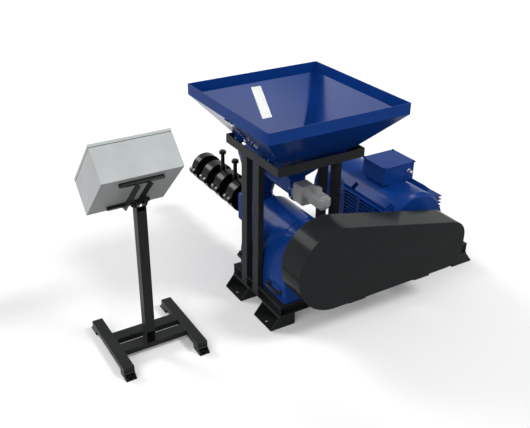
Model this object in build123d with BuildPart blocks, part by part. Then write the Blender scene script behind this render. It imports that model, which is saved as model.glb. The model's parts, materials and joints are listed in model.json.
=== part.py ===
"""Plastic extruder with a top hopper, a belt drive, a heated barrel and a control cabinet on a stand.

Millimetres, +Z up, floor at z = 0. +X runs along the belt drive towards the motor and +Y runs
along the barrel towards its outlet, so the belt guard is at the front.
"""
import os
from math import cos, radians, sin

from build123d import *

os.makedirs("parts", exist_ok=True)


def front_plane(y):
    """Sketch plane across the barrel at y: sketch x is X, sketch y is Z, extrude goes to -Y."""
    return Plane.XZ.offset(-y)


def side_plane(x):
    """Sketch plane along the barrel at x: sketch x is Y, sketch y is Z, extrude goes to +X."""
    return Plane.YZ.offset(x)


# Main positions
process_x = 0.0
process_y = -325.0
barrel_axis_z = 435.0
motor_x = 794.0
motor_axis_z = 442.0

# Hopper: a square mouth with a straight rim over four sloping walls
hopper_half = 500.0
hopper_top = 1442.0
hopper_rim = 73.0
hopper_sheet = 4.0
outlet_half = 60.0
outlet_top = 882.0
rim_bottom = hopper_top - hopper_rim
hopper_run = hopper_half - outlet_half
hopper_drop = rim_bottom - outlet_top
wall_slope = hopper_run / hopper_drop
sheet_in = hopper_sheet * (1 + wall_slope**2) ** 0.5


def hopper_half_at(z):
    """Outer half width of the hopper's sloping walls at height z."""
    return outlet_half + (z - outlet_top) * wall_slope


def hopper_z_at(half):
    """Height at which the hopper's sloping outer face is this far from its middle."""
    return outlet_top + (half - outlet_half) / wall_slope


# Base frame of outward-facing channels
foot_height = 88.0
channel_height = 80.0
channel_wall = 6.0
post_depth = 40.0
post_half_span = 321.0
base_width = 1637.0
base_length = 610.0
base_middle_back = 73.0
channel_depth = post_depth + channel_wall
base_left = process_x - post_half_span
base_right = base_left + base_width
base_mid_x = (base_left + base_right) / 2
base_mid_y = process_y - base_middle_back
base_front = base_mid_y - base_length / 2
base_rear = base_mid_y + base_length / 2
base_bottom = foot_height
base_top = base_bottom + channel_height


def mitred_channel(length, mitred=True):
    """Channel along X with its open side towards -Y and its outer face on y = 0."""
    inset = channel_depth if mitred else 0.0
    with BuildPart() as bar:
        with BuildSketch(Plane.XY):
            with BuildLine():
                Polyline(
                    (-length / 2, 0),
                    (length / 2, 0),
                    (length / 2 - inset, channel_depth),
                    (-length / 2 + inset, channel_depth),
                    close=True,
                )
            make_face()
        extrude(amount=channel_height)
        with BuildSketch(side_plane(-length / 2)):
            with Locations(((channel_depth - channel_wall) / 2, channel_height / 2)):
                Rectangle(channel_depth - channel_wall, channel_height - 2 * channel_wall)
        extrude(amount=length, mode=Mode.SUBTRACT)
    return bar.part


# Posts under the hopper ring, a pair at the middle of each side
post_width = 68.0
post_gap = 80.0
post_wall = 5.0
post_pair_y = process_y + 8.0
post_ys = [post_pair_y - (post_gap + post_width) / 2, post_pair_y + (post_gap + post_width) / 2]

with BuildPart() as base_front_channel:
    with Locations((base_mid_x, base_front, base_bottom)):
        add(mitred_channel(base_width))

with BuildPart() as base_rear_channel:
    with Locations((base_mid_x, base_rear, base_bottom)):
        add(mitred_channel(base_width), rotation=(0, 0, 180))

with BuildPart() as base_end_channels:
    with Locations((base_left, base_mid_y, base_bottom)):
        add(mitred_channel(base_length), rotation=(0, 0, -90))
    with Locations((base_right, base_mid_y, base_bottom)):
        add(mitred_channel(base_length), rotation=(0, 0, 90))
    with Locations([(base_left + post_depth / 2, y, base_bottom + channel_height / 2) for y in post_ys]):
        Box(post_depth, post_width, channel_height, mode=Mode.SUBTRACT)

# Cross channels: the first carries the right-hand posts, the others carry the motor
cross_length = base_length - 2 * channel_depth
post_cross_face = process_x + post_half_span
motor_cross_left = 195.0
motor_cross_right = 111.0
motor_cross_faces = [motor_x - motor_cross_left, motor_x + motor_cross_right]

with BuildPart() as base_cross_channels:
    with Locations([(x, base_mid_y, base_bottom) for x in [post_cross_face] + motor_cross_faces]):
        add(mitred_channel(cross_length, mitred=False), rotation=(0, 0, 90))
    with Locations(
        [(post_cross_face - post_depth / 2, y, base_bottom + channel_height / 2) for y in post_ys]
    ):
        Box(post_depth, post_width, channel_height, mode=Mode.SUBTRACT)

# Pressed feet with sloping gussets, toe outwards
foot_plate = 6.0
foot_length = 215.0
foot_toe = 65.0
foot_under = 120.0
cross_foot_under = 75.0
foot_bolt_radius = 9.0
foot_bolt_out = 33.0


def pressed_foot(under, toe, length, height, plate, bolt_radius, bolt_out):
    """Foot under a beam whose outer face is x = 0; the toe points to -X."""
    with BuildPart() as foot:
        with BuildSketch(front_plane(length / 2)):
            with BuildLine():
                Polyline(
                    (-toe, 0),
                    (under, 0),
                    (under, height),
                    (0, height),
                    (-toe, plate),
                    close=True,
                )
            make_face()
        extrude(amount=length)
        with BuildSketch(front_plane(length / 2 - plate)):
            with BuildLine():
                Polyline(
                    (-toe - plate, plate),
                    (under - plate, plate),
                    (under - plate, height - plate),
                    (-toe - plate, height - plate),
                    close=True,
                )
            make_face()
        extrude(amount=length - 2 * plate, mode=Mode.SUBTRACT)
        with Locations((-bolt_out, 0, plate)):
            Hole(bolt_radius, depth=plate)
    return foot.part


foot_ys = [base_front + foot_length / 2, base_rear - foot_length / 2]
main_foot = pressed_foot(
    foot_under, foot_toe, foot_length, foot_height, foot_plate, foot_bolt_radius, foot_bolt_out
)
cross_foot = pressed_foot(
    cross_foot_under, foot_toe, foot_length, foot_height, foot_plate, foot_bolt_radius, foot_bolt_out
)
cross_foot_faces = [post_cross_face, motor_cross_faces[1]]

with BuildPart() as base_feet:
    with Locations([(base_left, y, 0) for y in foot_ys]):
        add(main_foot)
    with Locations([(base_right, y, 0) for y in foot_ys]):
        add(main_foot, rotation=(0, 0, 180))
    with Locations([(x, y, 0) for x in cross_foot_faces for y in foot_ys]):
        add(cross_foot, rotation=(0, 0, 180))

# Ring of angles that carries the hopper, with its top edge under the sloping walls
ring_height = 60.0
ring_leg = 60.0
ring_wall = 6.0
ring_half = post_half_span
ring_under_wall = 41.2
ring_top = hopper_z_at(ring_half - ring_wall) - ring_under_wall
ring_bottom = ring_top - ring_height

with BuildPart() as support_posts:
    with BuildSketch(Plane.XY.offset(base_bottom)):
        with Locations([(process_x + side * (post_half_span - post_depth / 2), y)
                        for side in (-1, 1) for y in post_ys]):
            Rectangle(post_depth, post_width)
            Rectangle(post_depth - 2 * post_wall, post_width - 2 * post_wall, mode=Mode.SUBTRACT)
    extrude(amount=ring_bottom - base_bottom)


def mitred_angle(length):
    """Angle along X with its standing leg on y = 0 and its flat leg at the bottom."""
    with BuildPart() as bar:
        with BuildSketch(Plane.XY):
            with BuildLine():
                Polyline(
                    (-length / 2, 0),
                    (length / 2, 0),
                    (length / 2 - ring_leg, ring_leg),
                    (-length / 2 + ring_leg, ring_leg),
                    close=True,
                )
            make_face()
        extrude(amount=ring_height)
        with BuildSketch(side_plane(-length / 2)):
            with Locations((ring_wall, ring_wall)):
                Rectangle(ring_leg, ring_height, align=Align.MIN)
        extrude(amount=length, mode=Mode.SUBTRACT)
    return bar.part


with BuildPart() as ring_front_rear:
    with Locations((process_x, process_y - ring_half, ring_bottom)):
        add(mitred_angle(2 * ring_half))
    with Locations((process_x, process_y + ring_half, ring_bottom)):
        add(mitred_angle(2 * ring_half), rotation=(0, 0, 180))

with BuildPart() as ring_sides:
    with Locations((process_x - ring_half, process_y, ring_bottom)):
        add(mitred_angle(2 * ring_half), rotation=(0, 0, -90))
    with Locations((process_x + ring_half, process_y, ring_bottom)):
        add(mitred_angle(2 * ring_half), rotation=(0, 0, 90))

# Hopper of four folded sheets
with BuildPart() as hopper_shell:
    with BuildSketch(Plane.XY.offset(rim_bottom)):
        Rectangle(2 * hopper_half, 2 * hopper_half)
    with BuildSketch(Plane.XY.offset(outlet_top)):
        Rectangle(2 * outlet_half, 2 * outlet_half)
    loft()
    with BuildSketch(Plane.XY.offset(rim_bottom)):
        Rectangle(2 * hopper_half, 2 * hopper_half)
    extrude(amount=hopper_rim)
    with BuildSketch(Plane.XY.offset(rim_bottom)):
        Rectangle(2 * (hopper_half - sheet_in), 2 * (hopper_half - sheet_in))
    with BuildSketch(Plane.XY.offset(outlet_top)):
        Rectangle(2 * (outlet_half - sheet_in), 2 * (outlet_half - sheet_in))
    loft(mode=Mode.SUBTRACT)
    with BuildSketch(Plane.XY.offset(hopper_top)):
        Rectangle(2 * (hopper_half - hopper_sheet), 2 * (hopper_half - hopper_sheet))
    extrude(amount=-hopper_rim, mode=Mode.SUBTRACT)

# Sight windows, one in the rear wall and one in the left wall
window_length = 235.0
window_width = 78.0
window_centre_z = 1258.0
rear_window_x = process_x - 5.0
left_window_y = process_y - 20.0
glass_thickness = 6.0
window_out = hopper_half_at(window_centre_z)

rear_window_plane = Plane(
    origin=(rear_window_x, process_y + window_out, window_centre_z),
    x_dir=(1, 0, 0),
    z_dir=(0, hopper_drop, -hopper_run),
)
left_window_plane = Plane(
    origin=(process_x - window_out, left_window_y, window_centre_z),
    x_dir=(0, 1, 0),
    z_dir=(-hopper_drop, 0, -hopper_run),
)


def hopper_wall(direction):
    """One quarter of the hopper shell, cut on the two diagonals."""
    with BuildPart() as wall:
        with Locations((process_x, process_y, 0)):
            add(hopper_shell.part)
        first = Plane(origin=(process_x, process_y, 0), z_dir=(1, 1, 0))
        second = Plane(origin=(process_x, process_y, 0), z_dir=(1, -1, 0))
        keep = {"left": (Keep.BOTTOM, Keep.BOTTOM), "right": (Keep.TOP, Keep.TOP),
                "rear": (Keep.TOP, Keep.BOTTOM), "front": (Keep.BOTTOM, Keep.TOP)}[direction]
        split(bisect_by=first, keep=keep[0])
        split(bisect_by=second, keep=keep[1])
    return wall.part


with BuildPart() as hopper_front:
    add(hopper_wall("front"))

with BuildPart() as hopper_right:
    add(hopper_wall("right"))

with BuildPart() as hopper_rear:
    add(hopper_wall("rear"))
    with BuildSketch(rear_window_plane):
        Rectangle(window_width, window_length)
    extrude(amount=2 * hopper_sheet, both=True, mode=Mode.SUBTRACT)

with BuildPart() as hopper_left:
    add(hopper_wall("left"))
    with BuildSketch(left_window_plane):
        Rectangle(window_width, window_length)
    extrude(amount=2 * hopper_sheet, both=True, mode=Mode.SUBTRACT)

# Lugs that stand on the ring's flat legs and are welded to the side walls
lug_plate = 6.0
lug_ring_gap = 11.0
lug_outer = ring_half - ring_wall - lug_ring_gap
lug_foot = 34.0
lug_spans = [(-197.0, -126.0), (198.0, 291.0)]
lug_bottom = ring_bottom + ring_wall

with BuildPart() as hopper_lugs:
    for start, end in lug_spans:
        with BuildSketch(front_plane(process_y + end)):
            for side in (-1, 1):
                with BuildLine():
                    Polyline(
                        (process_x + side * lug_outer, lug_bottom),
                        (process_x + side * lug_outer, hopper_z_at(lug_outer)),
                        (process_x + side * (lug_outer - lug_plate), hopper_z_at(lug_outer - lug_plate)),
                        (process_x + side * (lug_outer - lug_plate), lug_bottom + lug_plate),
                        (process_x + side * (lug_outer - lug_foot), lug_bottom + lug_plate),
                        (process_x + side * (lug_outer - lug_foot), lug_bottom),
                        close=True,
                    )
                make_face()
        extrude(amount=end - start)

window_lap = 10.0
with BuildPart() as sight_windows:
    for plane in (rear_window_plane, left_window_plane):
        with BuildSketch(plane):
            Rectangle(window_width + 2 * window_lap, window_length + 2 * window_lap)
        extrude(amount=glass_thickness)

# Screw feeder under the hopper outlet
feeder_axis_z = 800.0
feeder_radius = 57.0
feeder_wall = 5.0
feeder_flange_out = 20.0
feeder_start = process_y - outlet_half - feeder_flange_out
funnel_offset = 400.0
funnel_y = process_y + funnel_offset
funnel_top = 900.0
funnel_top_radius = 165.0
funnel_bottom = 600.0
funnel_bottom_radius = 85.0
funnel_wall = 4.0
outlet_neck_wall = 4.0
feeder_flange_radius = 77.0
feeder_flange = 12.0

with BuildPart() as hopper_outlet:
    with BuildSketch(Plane.XY.offset(outlet_top)):
        with Locations((process_x, process_y)):
            Rectangle(2 * outlet_half, 2 * outlet_half)
            inner_half = outlet_half - outlet_neck_wall
            Rectangle(2 * inner_half, 2 * inner_half, mode=Mode.SUBTRACT)
    extrude(amount=-(outlet_top - feeder_axis_z))
    with BuildSketch(front_plane(process_y + outlet_half)):
        with Locations((process_x, feeder_axis_z)):
            Circle(feeder_radius)
    extrude(amount=2 * outlet_half, mode=Mode.SUBTRACT)

with BuildPart() as feeder_tube:
    with BuildSketch(front_plane(funnel_y - funnel_bottom_radius)):
        with Locations((process_x, feeder_axis_z)):
            Circle(feeder_radius)
            Circle(feeder_radius - feeder_wall, mode=Mode.SUBTRACT)
    extrude(amount=funnel_y - funnel_bottom_radius - feeder_start)
    with BuildSketch(front_plane(feeder_start + feeder_flange)):
        with Locations((process_x, feeder_axis_z)):
            Circle(feeder_flange_radius)
            Circle(feeder_radius - feeder_wall, mode=Mode.SUBTRACT)
    extrude(amount=feeder_flange)
    with BuildSketch(Plane.XY.offset(feeder_axis_z)):
        with Locations((process_x, process_y)):
            Rectangle(2 * inner_half, 2 * inner_half)
    extrude(amount=feeder_radius, mode=Mode.SUBTRACT)

# Geared motor of the feeder: a gear block, a narrower neck and a motor of eight-sided section
gear_spigot_radius = feeder_radius + 5.0
gear_unit_length = 95.0
gear_unit_width = 110.0
gear_unit_height = 130.0
gear_unit_rise = 10.0
gear_unit_edge = 10.0
feeder_motor_rise = 33.0
feeder_motor_axis_z = feeder_axis_z + feeder_motor_rise
feeder_neck_size = 72.0
feeder_neck_length = 58.0
feeder_motor_size = 96.0
feeder_motor_corner = 24.0
feeder_motor_length = 122.0
feeder_motor_edge = 5.0
feeder_box_width = 44.0
feeder_box_length = 42.0
feeder_box_height = 26.0
feeder_box_inset = 18.0

with BuildPart() as feeder_gearbox:
    with BuildSketch(front_plane(feeder_start)):
        with Locations((process_x, feeder_axis_z)):
            Circle(gear_spigot_radius)
    extrude(amount=feeder_flange)
    with BuildSketch(front_plane(feeder_start - feeder_flange)):
        with Locations((process_x, feeder_axis_z + gear_unit_rise)):
            Rectangle(gear_unit_width, gear_unit_height)
    extrude(amount=gear_unit_length)
    block_edges = feeder_gearbox.edges().filter_by(Axis.Y).filter_by(GeomType.LINE)
    chamfer(block_edges, length=gear_unit_edge)

neck_start = feeder_start - feeder_flange - gear_unit_length
feeder_motor_start = neck_start - feeder_neck_length
with BuildPart() as feeder_motor:
    with BuildSketch(front_plane(neck_start)):
        with Locations((process_x, feeder_motor_axis_z)):
            RectangleRounded(feeder_neck_size, feeder_neck_size, feeder_motor_corner)
    extrude(amount=feeder_neck_length)
    with BuildSketch(front_plane(feeder_motor_start)) as motor_section:
        with Locations((process_x, feeder_motor_axis_z)):
            Rectangle(feeder_motor_size, feeder_motor_size)
        chamfer(motor_section.vertices(), length=feeder_motor_corner)
    extrude(amount=feeder_motor_length)
    chamfer(feeder_motor.faces().sort_by(Axis.Y)[0].edges(), length=feeder_motor_edge)
    with BuildSketch(Plane.XY.offset(feeder_motor_axis_z + feeder_motor_size / 2)):
        with Locations((process_x, feeder_motor_start - feeder_box_inset - feeder_box_length / 2)):
            RectangleRounded(feeder_box_width, feeder_box_length, feeder_motor_edge)
    extrude(amount=feeder_box_height)

# Feed funnel over the barrel inlet
feed_block_past_funnel = 140.0
feed_block_end = funnel_y + feed_block_past_funnel
gearbox_rear_offset = 210.0
gearbox_rear = process_y + gearbox_rear_offset
funnel_lid = 6.0
with BuildPart() as feed_funnel:
    with Locations((process_x, funnel_y, funnel_bottom)):
        Cone(funnel_bottom_radius, funnel_top_radius, funnel_top - funnel_bottom,
             align=(Align.CENTER, Align.CENTER, Align.MIN))
        Cone(funnel_bottom_radius - funnel_wall, funnel_top_radius - funnel_wall,
             funnel_top - funnel_bottom - funnel_lid,
             align=(Align.CENTER, Align.CENTER, Align.MIN), mode=Mode.SUBTRACT)
    with BuildSketch(front_plane(funnel_y)):
        with Locations((process_x, feeder_axis_z)):
            Circle(feeder_radius)
    extrude(amount=2 * funnel_top_radius, mode=Mode.SUBTRACT)

# Barrel
barrel_radius = 75.0
barrel_bore_radius = 33.0
band_radius = 117.0
band_length = 90.0
band_pitch = 198.0
band_count = 3
first_band_gap = 98.0
first_band_front = feed_block_end + first_band_gap
end_flange_length = 75.0
end_flange_gap = 101.0
end_flange_front = first_band_front + (band_count - 1) * band_pitch + band_length + end_flange_gap
barrel_end = end_flange_front + end_flange_length
feed_block_half = 110.0
feed_block_corner = 20.0
feed_block_top = funnel_bottom
inlet_radius = 60.0
output_flange_length = 40.0
output_flange_radius = 150.0
feed_block_start = gearbox_rear + output_flange_length

with BuildPart() as feed_throat:
    with BuildSketch(front_plane(feed_block_end)):
        with Locations((process_x, barrel_axis_z)):
            RectangleRounded(2 * feed_block_half, 2 * feed_block_half, feed_block_corner)
    extrude(amount=feed_block_end - feed_block_start)
    with BuildSketch(Plane.XY.offset(barrel_axis_z)):
        with Locations((process_x, funnel_y)):
            Circle(funnel_bottom_radius)
    extrude(amount=feed_block_top - barrel_axis_z)
    with BuildSketch(front_plane(feed_block_end)):
        with Locations((process_x, barrel_axis_z)):
            Circle(barrel_bore_radius)
    extrude(amount=feed_block_end - feed_block_start, mode=Mode.SUBTRACT)
    with BuildSketch(Plane.XY.offset(barrel_axis_z)):
        with Locations((process_x, funnel_y)):
            Circle(inlet_radius)
    extrude(amount=feed_block_top - barrel_axis_z, mode=Mode.SUBTRACT)

with BuildPart() as barrel_tube:
    with BuildSketch(front_plane(barrel_end)):
        with Locations((process_x, barrel_axis_z)):
            Circle(barrel_radius)
            Circle(barrel_bore_radius, mode=Mode.SUBTRACT)
    extrude(amount=barrel_end - feed_block_end)

ear_out = 22.0
ear_height = 34.0
ear_round = 5.0
ear_root = 12.0
ear_slit = 4.0


def clamped_band(length):
    """Clamp band on the barrel axis with its ears towards -X; front face on y = 0."""
    with BuildPart() as band:
        with BuildSketch(front_plane(length)):
            Circle(band_radius)
            with Locations((-band_radius - (ear_out - ear_root) / 2, 0)):
                RectangleRounded(ear_out + ear_root, ear_height, ear_round)
            Circle(barrel_radius, mode=Mode.SUBTRACT)
            with Locations((-band_radius, 0)):
                Rectangle(2 * (band_radius - barrel_radius + ear_round), ear_slit, mode=Mode.SUBTRACT)
        extrude(amount=length)
    return band.part


with BuildPart() as heater_bands:
    for index in range(band_count):
        with Locations((process_x, first_band_front + index * band_pitch, barrel_axis_z)):
            add(clamped_band(band_length))

with BuildPart() as barrel_end_flange:
    with Locations((process_x, end_flange_front, barrel_axis_z)):
        add(clamped_band(end_flange_length))

# Mushroom-headed sensor knobs, standing on the barrel between the bands
knob_cap_radius = 28.0
knob_cap_height = 26.0
knob_cap_round = 8.0
knob_stem_radius = 15.0
knob_foot_radius = 24.0
knob_foot_height = 62.0
knob_height = 182.0
knob_seat = barrel_axis_z + barrel_radius
with BuildPart() as sensor_knobs:
    for index in range(1, band_count):
        foot_y = first_band_front + index * band_pitch - (band_pitch - band_length) / 2
        with BuildSketch(Plane(
            origin=(process_x, foot_y, knob_seat),
            x_dir=(1, 0, 0),
            z_dir=(0, -1, 0),
        )):
            with BuildLine():
                Polyline(
                    (0, -knob_cap_round),
                    (knob_foot_radius, -knob_cap_round),
                    (knob_foot_radius, knob_foot_height),
                    (knob_stem_radius, knob_foot_height + knob_cap_round),
                    (knob_stem_radius, knob_height - knob_cap_height - knob_cap_round),
                    (knob_cap_radius, knob_height - knob_cap_height),
                    (knob_cap_radius, knob_height - knob_cap_round),
                    (knob_cap_radius - knob_cap_round, knob_height),
                    (0, knob_height),
                    close=True,
                )
            make_face()
        revolve(axis=Axis((process_x, foot_y, 0), (0, 0, 1)))
    with BuildSketch(front_plane(barrel_end)):
        with Locations((process_x, barrel_axis_z)):
            Circle(barrel_radius)
    extrude(amount=barrel_end - feed_block_end, mode=Mode.SUBTRACT)

# Gearbox: an arched body and a slightly smaller arched cover in front of it
gearbox_front = process_y - 368.0
gearbox_crease = process_y - 173.0
gearbox_post_clearance = 2.0
gearbox_arch_x = -24.0
gearbox_arch_half = post_half_span - post_depth - gearbox_post_clearance + gearbox_arch_x
gearbox_spring = 260.0
gearbox_top = 638.0
gearbox_edge = 6.0
cover_step = 3.0
cover_edge = 13.0


def gearbox_section(inset):
    """Arched outline of the gearbox body, drawn on an XZ sketch plane."""
    half = gearbox_arch_half - inset
    with BuildSketch() as section:
        with BuildLine():
            EllipticalCenterArc(
                (gearbox_arch_x, gearbox_spring), half, gearbox_top - inset - gearbox_spring,
                start_angle=0, arc_size=180,
            )
            Polyline(
                (gearbox_arch_x - half, gearbox_spring),
                (gearbox_arch_x - half, base_top),
                (gearbox_arch_x + half, base_top),
                (gearbox_arch_x + half, gearbox_spring),
            )
        make_face()
    return section.sketch


with BuildPart() as gearbox_housing:
    with BuildSketch(front_plane(gearbox_crease)):
        add(gearbox_section(cover_step))
    extrude(amount=gearbox_crease - gearbox_front)
    cover_front = gearbox_housing.faces().sort_by(Axis.Y)[0]
    fillet(cover_front.edges().sort_by(Axis.Z)[1:], radius=cover_edge)
    with BuildSketch(front_plane(gearbox_rear)):
        add(gearbox_section(0))
    extrude(amount=gearbox_rear - gearbox_crease)
    body_rear = gearbox_housing.faces().sort_by(Axis.Y)[-1]
    chamfer(body_rear.edges().sort_by(Axis.Z)[1:], length=gearbox_edge)
    with BuildSketch(front_plane(feed_block_start)):
        with Locations((process_x, barrel_axis_z)):
            Circle(output_flange_radius)
    extrude(amount=output_flange_length)

# Lifting handles, one on the cover and one on the body behind the posts: middle, length, height, side
handle_radius = 8.0
handle_stand = 28.0
handle_bend = 14.0
gearbox_side = gearbox_arch_x - gearbox_arch_half
handles = [
    (process_y - 247.5, 85.0, base_top + 82.0, gearbox_side + cover_step),
    (process_y + 165.0, 70.0, base_top + 92.0, gearbox_side),
]
with BuildPart() as gearbox_handles:
    for y, handle_length, handle_z, handle_x in handles:
        with BuildLine() as handle_path:
            Polyline(
                (handle_x, y - handle_length / 2, handle_z),
                (handle_x - handle_stand, y - handle_length / 2, handle_z),
                (handle_x - handle_stand, y + handle_length / 2, handle_z),
                (handle_x, y + handle_length / 2, handle_z),
            )
            fillet(handle_path.vertices().group_by(Axis.X)[0], radius=handle_bend)
        with BuildSketch(Plane(origin=(handle_x, y - handle_length / 2, handle_z), z_dir=(-1, 0, 0))):
            Circle(handle_radius)
        sweep(path=handle_path.line)

# Belt guard: wide round the large pulley, squarer at the motor's end
guard_front = process_y - 650.0
guard_depth = 200.0
guard_back = guard_front + guard_depth
guard_big_x = -85.0
guard_big_z = 530.0
guard_big_radius = 281.0
guard_end_past_motor = 170.0
guard_end_radius = 130.0
guard_end_rise = 32.0
guard_end_drop = 57.0
guard_end_x = motor_x + guard_end_past_motor - guard_end_radius
guard_sheet = 3.0
guard_plate = 5.0


def guard_outline(inset):
    """Hull of the large pulley's circle and the two corners at the motor's end, on an XZ plane."""
    with BuildSketch() as outline:
        with Locations((guard_big_x, guard_big_z)):
            Circle(guard_big_radius - inset)
        with Locations(
            (guard_end_x, motor_axis_z + guard_end_rise), (guard_end_x, motor_axis_z - guard_end_drop)
        ):
            Circle(guard_end_radius - inset)
        make_hull()
    return outline.sketch


with BuildPart() as belt_guard:
    with BuildSketch(front_plane(guard_back - guard_plate)):
        add(guard_outline(0))
    extrude(amount=guard_depth - guard_plate)
    with BuildSketch(front_plane(guard_back - guard_plate)):
        add(guard_outline(guard_sheet))
    extrude(amount=guard_depth - guard_plate - guard_sheet, mode=Mode.SUBTRACT)

shaft_hole = 50.0
with BuildPart() as guard_back_plate:
    with BuildSketch(front_plane(guard_back)):
        add(guard_outline(0))
        with Locations((guard_big_x, guard_big_z), (motor_x, motor_axis_z)):
            Circle(shaft_hole, mode=Mode.SUBTRACT)
    extrude(amount=guard_plate)

standoff_radius = 14.0
standoff_out = 135.0
standoff_drop = 110.0
standoff_rise = 60.0
standoff_points = [
    (gearbox_arch_x - standoff_out, guard_big_z - standoff_drop),
    (gearbox_arch_x + standoff_out, guard_big_z - standoff_drop),
    (gearbox_arch_x, guard_big_z + standoff_rise),
]
with BuildPart() as guard_standoffs:
    with BuildSketch(front_plane(gearbox_front)):
        with Locations(standoff_points):
            Circle(standoff_radius)
    extrude(amount=gearbox_front - guard_back)

# Drive motor on its own plate
motor_plate = 12.0
motor_plate_width = 620.0
motor_front = process_y - 360.0
motor_body_radius = 250.0
fin_root_radius = 226.0
shield_length = 34.0
shield_nose_radius = 232.0
shield_nose = 16.0
frame_rear = process_y + 175.0
cowl_radius = 236.0
cowl_length = 385.0
cowl_edge = 30.0

with BuildPart() as motor_base_plate:
    with BuildSketch(Plane.XY.offset(base_top)):
        with Locations((motor_x, base_mid_y)):
            Rectangle(motor_plate_width, base_length)
    extrude(amount=motor_plate)

# Frame: smooth at the top and bottom, fins along both sides, a bar at each upper shoulder and feet
motor_frame_front = motor_front + shield_nose + shield_length
fin_count_side = 13
fin_pitch = 26.0
fin_thickness = 6.0
fin_out = 262.0
smooth_half = 185.0
bar_corner = (192.0, 211.0)
bar_side = (235.0, 177.0)
bar_side_drop = 14.0
bar_gap_front = process_y + 45.0
bar_gap_rear = process_y + 85.0
left_bar_front = motor_frame_front + 13.0
right_bar_front = process_y - 205.0
rib_width = 22.0
rib_ys = [process_y - 210.0, process_y - 40.0, process_y + 130.0]
motor_foot_out = 254.0
motor_foot_in = 120.0
motor_foot_pad = 22.0
motor_foot_length = 76.0
motor_foot_inset = 30.0
fin_span = (fin_count_side - 1) * fin_pitch

with BuildPart() as motor_frame:
    with BuildSketch(front_plane(frame_rear)):
        with Locations((motor_x, motor_axis_z)):
            Circle(motor_body_radius)
            Rectangle(2 * smooth_half, 2 * motor_body_radius, mode=Mode.INTERSECT)
            Circle(fin_root_radius)
        with Locations([(motor_x, motor_axis_z + index * fin_pitch - fin_span / 2)
                        for index in range(fin_count_side)]):
            Rectangle(2 * fin_out, fin_thickness)
    extrude(amount=frame_rear - motor_frame_front)
    with Locations([(motor_x, y, motor_axis_z) for y in rib_ys]):
        Box(2 * fin_out, rib_width, fin_span)
    for side, bar_front in ((-1, left_bar_front), (1, right_bar_front)):
        for start, end in ((bar_front, bar_gap_front), (bar_gap_rear, frame_rear)):
            with BuildSketch(front_plane(end)):
                with BuildLine():
                    Polyline(
                        (motor_x + side * bar_corner[0], motor_axis_z + bar_corner[1]),
                        (motor_x + side * bar_side[0], motor_axis_z + bar_side[1]),
                        (motor_x + side * bar_side[0], motor_axis_z + bar_side[1] - bar_side_drop),
                        (motor_x + side * bar_corner[0] / 2, motor_axis_z + bar_corner[1] / 2),
                        close=True,
                    )
                make_face()
            extrude(amount=end - start)
    foot_rows = (motor_frame_front + motor_foot_inset + motor_foot_length, frame_rear - motor_foot_inset)
    for foot_end in foot_rows:
        with BuildSketch(front_plane(foot_end)):
            for side in (-1, 1):
                with BuildLine():
                    Polyline(
                        (motor_x + side * motor_foot_in, base_top + motor_plate),
                        (motor_x + side * motor_foot_out, base_top + motor_plate),
                        (motor_x + side * motor_foot_out, base_top + motor_plate + motor_foot_pad),
                        (motor_x + side * smooth_half, motor_axis_z - smooth_half / 2),
                        (motor_x + side * motor_foot_in / 2, motor_axis_z - motor_body_radius / 2),
                        close=True,
                    )
                make_face()
        extrude(amount=motor_foot_length)

with BuildPart() as motor_drive_shield:
    with BuildSketch(front_plane(motor_frame_front)):
        with Locations((motor_x, motor_axis_z)):
            Circle(motor_body_radius)
    extrude(amount=shield_length)
    chamfer(
        motor_drive_shield.faces().sort_by(Axis.Y)[0].edges(),
        length=motor_body_radius - shield_nose_radius,
    )
    with BuildSketch(front_plane(motor_front + shield_nose)):
        with Locations((motor_x, motor_axis_z)):
            Circle(shield_nose_radius)
    extrude(amount=shield_nose)

# Fan cowl with a rounded rear edge and a grille of radial slots over three rings
grille_slots = 20
grille_slot_length = 62.0
grille_slot_width = 11.0
grille_slot_depth = 8.0
grille_slot_middle = 130.0
cowl_rear = frame_rear + cowl_length
with BuildPart() as motor_fan_cowl:
    with BuildSketch(front_plane(cowl_rear)):
        with Locations((motor_x, motor_axis_z)):
            Circle(cowl_radius)
    extrude(amount=cowl_length)
    fillet(motor_fan_cowl.faces().sort_by(Axis.Y)[-1].edges(), radius=cowl_edge)
    with BuildSketch(front_plane(cowl_rear)):
        with Locations((motor_x, motor_axis_z)):
            with PolarLocations(grille_slot_middle, grille_slots):
                SlotOverall(grille_slot_length, grille_slot_width)
    extrude(amount=grille_slot_depth, mode=Mode.SUBTRACT)

# Terminal box on a neck that sits on the frame's round top
box_x = motor_x + 8.0
box_y = process_y - 13.0
box_width = 276.0
box_length = 245.0
box_height = 133.0
box_clear = 2.0
box_bottom = motor_axis_z + motor_body_radius - box_clear
box_top = box_bottom + box_height
lid_thickness = 8.0
lid_lap = 6.0
box_neck_inset = 34.0
with BuildPart() as terminal_box:
    with BuildSketch(Plane.XY.offset(box_bottom)):
        with Locations((box_x, box_y)):
            Rectangle(box_width - 2 * lid_lap, box_length - 2 * lid_lap)
    extrude(amount=box_top - lid_thickness - box_bottom)
    with BuildSketch(Plane.XY.offset(box_bottom)):
        with Locations((box_x, box_y)):
            Rectangle(box_width - 2 * box_neck_inset, box_length - 2 * box_neck_inset)
    extrude(amount=motor_axis_z - box_bottom)
    with BuildSketch(front_plane(box_y + box_length / 2)):
        with Locations((motor_x, motor_axis_z)):
            Circle(motor_body_radius)
    extrude(amount=box_length, mode=Mode.SUBTRACT)

with BuildPart() as terminal_box_lid:
    with BuildSketch(Plane.XY.offset(box_top - lid_thickness)):
        with Locations((box_x, box_y)):
            Rectangle(box_width, box_length)
    extrude(amount=lid_thickness)

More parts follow.
